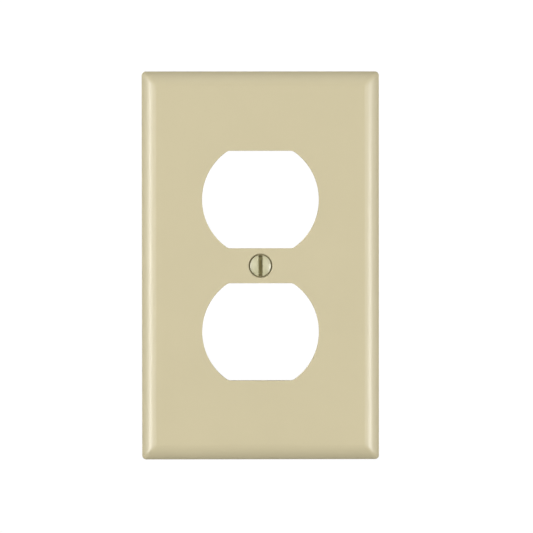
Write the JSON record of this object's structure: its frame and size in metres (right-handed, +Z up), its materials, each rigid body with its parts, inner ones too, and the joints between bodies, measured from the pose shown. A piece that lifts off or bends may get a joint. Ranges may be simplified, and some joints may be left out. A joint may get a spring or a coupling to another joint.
{
  "type": "duplex receptacle wall plate",
  "caption": "Flat ivory wall plate with beveled edges and paired round openings for a duplex receptacle, held by a central slotted screw that a washer keeps in place.",
  "frame": {"origin": "where the screw's axis meets the plane of the wall, which the plate's rear rim lies in", "axes": "+Z up the plate, +X to the right seen from the front, +Y into the wall, so the front faces -Y"},
  "size_m": [0.0698, 0.0134, 0.1142],
  "materials": {
    "ivory_plastic": "satin",
    "painted_screw": "satin",
    "nylon": "satin"
  },
  "bodies": {
    "plate": {"wall_plate": "ivory_plastic"},
    "keeper": {"retaining_washer": "nylon"},
    "screw": {"mounting_screw": "painted_screw"}
  },
  "joints": [
    {"name": "screw_turn", "type": "hinge", "parent": "plate", "child": "keeper", "pos_m": [0, 0, 0], "axis": [0, -1, 0], "continuous": true},
    {"name": "screw_travel", "type": "slide", "parent": "keeper", "child": "screw", "axis": [0, -1, 0], "range_m": [0, 0.0085]}
  ]
}
